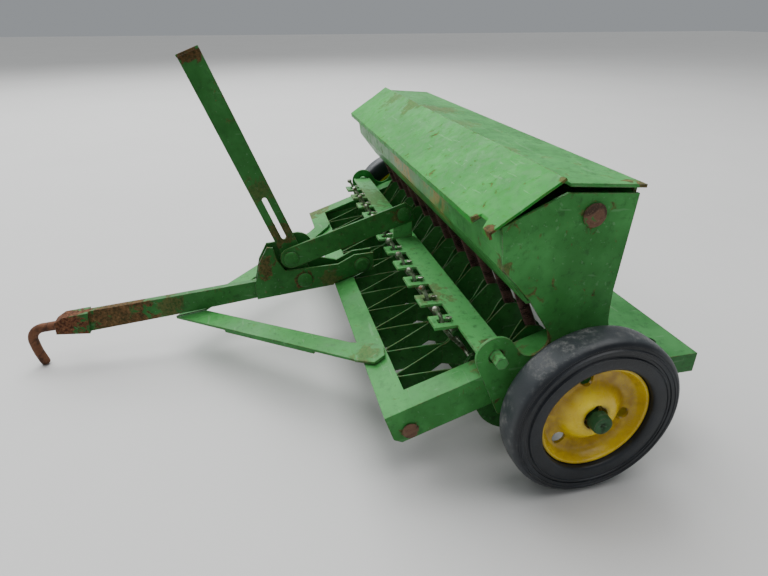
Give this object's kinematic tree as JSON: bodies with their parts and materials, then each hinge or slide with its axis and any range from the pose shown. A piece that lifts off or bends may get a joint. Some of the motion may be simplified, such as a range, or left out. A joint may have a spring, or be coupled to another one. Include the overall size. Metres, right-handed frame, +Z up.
{
  "type": "toy grain drill",
  "caption": "Pressed-steel toy grain drill on rubber-tyred wheels with a seed hopper, a gang of hinged openers under spring tubes, a hand lift lever and a drawn tongue.",
  "frame": {"origin": "centre of the bottom of the bounding box, on the ground", "axes": "+Z up, -Y the way the drill is drawn (tongue end), +X its left side"},
  "size_m": [0.244, 0.2456, 0.1281],
  "materials": {
    "green_paint": "worn gloss green paint with rust at the edges",
    "dark_green_paint": "worn dark green paint",
    "yellow_paint": "worn gloss yellow paint",
    "black_rubber": "scuffed matte rubber",
    "rusty_steel": "brown rust",
    "bare_steel": "worn bright"
  },
  "bodies": {
    "frame": {"frame_tray": "green_paint", "opener_rod": "rusty_steel", "rear_board": "green_paint", "hopper": "green_paint", "tongue": "dark_green_paint", "hitch_hook": "rusty_steel", "lever_pivot_rivet": "dark_green_paint", "left_side_plate": "green_paint", "right_side_plate": "green_paint", "left_hopper_rivet": "rusty_steel", "right_hopper_rivet": "rusty_steel", "left_axle": "dark_green_paint", "right_axle": "dark_green_paint", "left_brace": "green_paint", "right_brace": "green_paint", "seed_tube_01": "rusty_steel", "seed_tube_02": "rusty_steel", "seed_tube_03": "rusty_steel", "seed_tube_04": "rusty_steel", "seed_tube_05": "rusty_steel", "seed_tube_06": "rusty_steel", "seed_tube_07": "rusty_steel", "seed_tube_08": "rusty_steel", "seed_tube_09": "rusty_steel", "seed_tube_10": "rusty_steel", "seed_tube_11": "rusty_steel", "seed_tube_12": "rusty_steel"},
    "left_wheel": {"left_wheel_rim": "yellow_paint", "left_tyre": "black_rubber"},
    "right_wheel": {"right_wheel_rim": "yellow_paint", "right_tyre": "black_rubber"},
    "lid": {"front_lid": "green_paint"},
    "lever": {"hand_lever": "dark_green_paint"},
    "link": {"lift_link": "dark_green_paint", "link_front_rivet": "dark_green_paint"},
    "lift_gear": {"lift_bar": "green_paint", "link_rear_rivet": "dark_green_paint"},
    "hanger_01": {"lift_hanger_01": "bare_steel"},
    "hanger_02": {"lift_hanger_02": "bare_steel"},
    "hanger_03": {"lift_hanger_03": "bare_steel"},
    "hanger_04": {"lift_hanger_04": "bare_steel"},
    "hanger_05": {"lift_hanger_05": "bare_steel"},
    "hanger_06": {"lift_hanger_06": "bare_steel"},
    "hanger_07": {"lift_hanger_07": "bare_steel"},
    "hanger_08": {"lift_hanger_08": "bare_steel"},
    "hanger_09": {"lift_hanger_09": "bare_steel"},
    "hanger_10": {"lift_hanger_10": "bare_steel"},
    "hanger_11": {"lift_hanger_11": "bare_steel"},
    "opener_01": {"opener_01": "dark_green_paint"},
    "opener_02": {"opener_02": "dark_green_paint"},
    "opener_03": {"opener_03": "dark_green_paint"},
    "opener_04": {"opener_04": "dark_green_paint"},
    "opener_05": {"opener_05": "dark_green_paint"},
    "opener_06": {"opener_06": "dark_green_paint"},
    "opener_07": {"opener_07": "dark_green_paint"},
    "opener_08": {"opener_08": "dark_green_paint"},
    "opener_09": {"opener_09": "dark_green_paint"},
    "opener_10": {"opener_10": "dark_green_paint"},
    "opener_11": {"opener_11": "dark_green_paint"},
    "opener_12": {"opener_12": "dark_green_paint"}
  },
  "joints": [
    {"name": "left_wheel_spin", "type": "hinge", "parent": "frame", "child": "left_wheel", "pos_m": [0.1145, 0.07219, 0.0285], "axis": [1, 0, 0], "continuous": true},
    {"name": "right_wheel_spin", "type": "hinge", "parent": "frame", "child": "right_wheel", "pos_m": [-0.1145, 0.07219, 0.0285], "axis": [1, 0, 0], "continuous": true},
    {"name": "lid_hinge", "type": "hinge", "parent": "frame", "child": "lid", "pos_m": [0, 0.06029, 0.0989], "axis": [-1, 0, 0], "range_deg": [0, 205]},
    {"name": "lever_pivot", "type": "hinge", "parent": "frame", "child": "lever", "pos_m": [0, -0.00341, 0.0296], "axis": [-1, 0, 0], "range_deg": [0, 28.6]},
    {"name": "link_pivot", "type": "hinge", "parent": "lever", "child": "link", "pos_m": [0.0039, -0.00891, 0.0413], "axis": [1, 0, 0], "range_deg": [0, 27.5]},
    {"name": "lift_bar_pivot", "type": "hinge", "parent": "frame", "child": "lift_gear", "pos_m": [0, 0.04539, 0.0443], "axis": [-1, 0, 0], "range_deg": [0, 28]},
    {"name": "hanger_01_swing", "type": "hinge", "parent": "lift_gear", "child": "hanger_01", "pos_m": [-0.08, 0.03539, 0.0455], "axis": [1, 0, 0], "range_deg": [0, 13]},
    {"name": "hanger_02_swing", "type": "hinge", "parent": "lift_gear", "child": "hanger_02", "pos_m": [-0.064, 0.03539, 0.0455], "axis": [1, 0, 0], "range_deg": [0, 13]},
    {"name": "hanger_03_swing", "type": "hinge", "parent": "lift_gear", "child": "hanger_03", "pos_m": [-0.048, 0.03539, 0.0455], "axis": [1, 0, 0], "range_deg": [0, 13]},
    {"name": "hanger_04_swing", "type": "hinge", "parent": "lift_gear", "child": "hanger_04", "pos_m": [-0.032, 0.03539, 0.0455], "axis": [1, 0, 0], "range_deg": [0, 13]},
    {"name": "hanger_05_swing", "type": "hinge", "parent": "lift_gear", "child": "hanger_05", "pos_m": [-0.016, 0.03539, 0.0455], "axis": [1, 0, 0], "range_deg": [0, 13]},
    {"name": "hanger_06_swing", "type": "hinge", "parent": "lift_gear", "child": "hanger_06", "pos_m": [0, 0.03539, 0.0455], "axis": [1, 0, 0], "range_deg": [0, 13]},
    {"name": "hanger_07_swing", "type": "hinge", "parent": "lift_gear", "child": "hanger_07", "pos_m": [0.016, 0.03539, 0.0455], "axis": [1, 0, 0], "range_deg": [0, 13]},
    {"name": "hanger_08_swing", "type": "hinge", "parent": "lift_gear", "child": "hanger_08", "pos_m": [0.032, 0.03539, 0.0455], "axis": [1, 0, 0], "range_deg": [0, 13]},
    {"name": "hanger_09_swing", "type": "hinge", "parent": "lift_gear", "child": "hanger_09", "pos_m": [0.048, 0.03539, 0.0455], "axis": [1, 0, 0], "range_deg": [0, 13]},
    {"name": "hanger_10_swing", "type": "hinge", "parent": "lift_gear", "child": "hanger_10", "pos_m": [0.064, 0.03539, 0.0455], "axis": [1, 0, 0], "range_deg": [0, 13]},
    {"name": "hanger_11_swing", "type": "hinge", "parent": "lift_gear", "child": "hanger_11", "pos_m": [0.08, 0.03539, 0.0455], "axis": [1, 0, 0], "range_deg": [0, 13]},
    {"name": "opener_01_lift", "type": "hinge", "parent": "frame", "child": "opener_01", "pos_m": [-0.088, 0.01874, 0.01971], "axis": [1, 0, 0], "range_deg": [0, 6.5], "deforming": ["seed_tube_01"]},
    {"name": "opener_02_lift", "type": "hinge", "parent": "frame", "child": "opener_02", "pos_m": [-0.072, 0.01874, 0.01971], "axis": [1, 0, 0], "range_deg": [0, 6.5], "deforming": ["seed_tube_02"]},
    {"name": "opener_03_lift", "type": "hinge", "parent": "frame", "child": "opener_03", "pos_m": [-0.056, 0.01874, 0.01971], "axis": [1, 0, 0], "range_deg": [0, 6.5], "deforming": ["seed_tube_03"]},
    {"name": "opener_04_lift", "type": "hinge", "parent": "frame", "child": "opener_04", "pos_m": [-0.04, 0.01874, 0.01971], "axis": [1, 0, 0], "range_deg": [0, 6.5], "deforming": ["seed_tube_04"]},
    {"name": "opener_05_lift", "type": "hinge", "parent": "frame", "child": "opener_05", "pos_m": [-0.024, 0.01874, 0.01971], "axis": [1, 0, 0], "range_deg": [0, 6.5], "deforming": ["seed_tube_05"]},
    {"name": "opener_06_lift", "type": "hinge", "parent": "frame", "child": "opener_06", "pos_m": [-0.008, 0.01874, 0.01971], "axis": [1, 0, 0], "range_deg": [0, 6.5], "deforming": ["seed_tube_06"]},
    {"name": "opener_07_lift", "type": "hinge", "parent": "frame", "child": "opener_07", "pos_m": [0.008, 0.01874, 0.01971], "axis": [1, 0, 0], "range_deg": [0, 6.5], "deforming": ["seed_tube_07"]},
    {"name": "opener_08_lift", "type": "hinge", "parent": "frame", "child": "opener_08", "pos_m": [0.024, 0.01874, 0.01971], "axis": [1, 0, 0], "range_deg": [0, 6.5], "deforming": ["seed_tube_08"]},
    {"name": "opener_09_lift", "type": "hinge", "parent": "frame", "child": "opener_09", "pos_m": [0.04, 0.01874, 0.01971], "axis": [1, 0, 0], "range_deg": [0, 6.5], "deforming": ["seed_tube_09"]},
    {"name": "opener_10_lift", "type": "hinge", "parent": "frame", "child": "opener_10", "pos_m": [0.056, 0.01874, 0.01971], "axis": [1, 0, 0], "range_deg": [0, 6.5], "deforming": ["seed_tube_10"]},
    {"name": "opener_11_lift", "type": "hinge", "parent": "frame", "child": "opener_11", "pos_m": [0.072, 0.01874, 0.01971], "axis": [1, 0, 0], "range_deg": [0, 6.5], "deforming": ["seed_tube_11"]},
    {"name": "opener_12_lift", "type": "hinge", "parent": "frame", "child": "opener_12", "pos_m": [0.088, 0.01874, 0.01971], "axis": [1, 0, 0], "range_deg": [0, 6.5], "deforming": ["seed_tube_12"]}
  ],
  "couplings": [
    {"joint": "link_pivot", "follows": "lever_pivot", "ratio": 0.9467},
    {"joint": "lift_bar_pivot", "follows": "lever_pivot", "ratio": 0.9647},
    {"joint": "hanger_01_swing", "follows": "lever_pivot", "ratio": 0.445},
    {"joint": "hanger_02_swing", "follows": "lever_pivot", "ratio": 0.445},
    {"joint": "hanger_03_swing", "follows": "lever_pivot", "ratio": 0.445},
    {"joint": "hanger_04_swing", "follows": "lever_pivot", "ratio": 0.445},
    {"joint": "hanger_05_swing", "follows": "lever_pivot", "ratio": 0.445},
    {"joint": "hanger_06_swing", "follows": "lever_pivot", "ratio": 0.445},
    {"joint": "hanger_07_swing", "follows": "lever_pivot", "ratio": 0.445},
    {"joint": "hanger_08_swing", "follows": "lever_pivot", "ratio": 0.445},
    {"joint": "hanger_09_swing", "follows": "lever_pivot", "ratio": 0.445},
    {"joint": "hanger_10_swing", "follows": "lever_pivot", "ratio": 0.445},
    {"joint": "hanger_11_swing", "follows": "lever_pivot", "ratio": 0.445},
    {"joint": "opener_01_lift", "follows": "lever_pivot", "ratio": 0.2234},
    {"joint": "opener_02_lift", "follows": "lever_pivot", "ratio": 0.2234},
    {"joint": "opener_03_lift", "follows": "lever_pivot", "ratio": 0.2234},
    {"joint": "opener_04_lift", "follows": "lever_pivot", "ratio": 0.2234},
    {"joint": "opener_05_lift", "follows": "lever_pivot", "ratio": 0.2234},
    {"joint": "opener_06_lift", "follows": "lever_pivot", "ratio": 0.2234},
    {"joint": "opener_07_lift", "follows": "lever_pivot", "ratio": 0.2234},
    {"joint": "opener_08_lift", "follows": "lever_pivot", "ratio": 0.2234},
    {"joint": "opener_09_lift", "follows": "lever_pivot", "ratio": 0.2234},
    {"joint": "opener_10_lift", "follows": "lever_pivot", "ratio": 0.2234},
    {"joint": "opener_11_lift", "follows": "lever_pivot", "ratio": 0.2234},
    {"joint": "opener_12_lift", "follows": "lever_pivot", "ratio": 0.2234}
  ]
}
